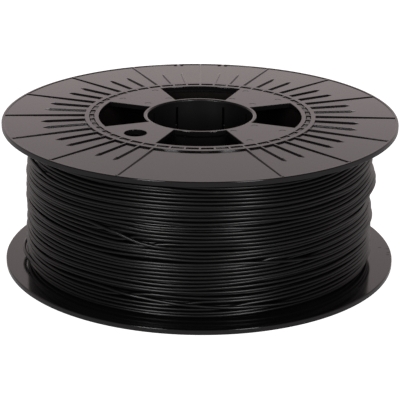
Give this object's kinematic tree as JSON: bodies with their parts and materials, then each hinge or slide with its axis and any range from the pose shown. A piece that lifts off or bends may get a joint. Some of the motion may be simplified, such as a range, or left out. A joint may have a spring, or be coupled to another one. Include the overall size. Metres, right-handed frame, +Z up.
{
  "type": "filament spool",
  "caption": "Black plastic reel with two ribbed, windowed flanges on a winding barrel and hub tube, full of thin black filament for 3-D printers.",
  "frame": {"origin": "on the reel's axis, in the plane of the lowest face, the lower flange's raised ring", "axes": "+Z up along the bore, through both flanges; -Y towards the upper flange's rib-free sector"},
  "size_m": [0.2, 0.2, 0.0772],
  "materials": {
    "reel_plastic": "satin moulded black polystyrene with a fine spark-eroded texture",
    "barrel_plastic": "plain moulded black polystyrene",
    "filament": "smooth extruded black thermoplastic with a soft sheen"
  },
  "bodies": {
    "root": {"upper_flange": "reel_plastic", "lower_flange": "reel_plastic", "winding_barrel": "barrel_plastic", "hub_tube": "barrel_plastic", "filament_inner_layers": "filament", "filament_outer_layer": "filament"}
  },
  "joints": []
}
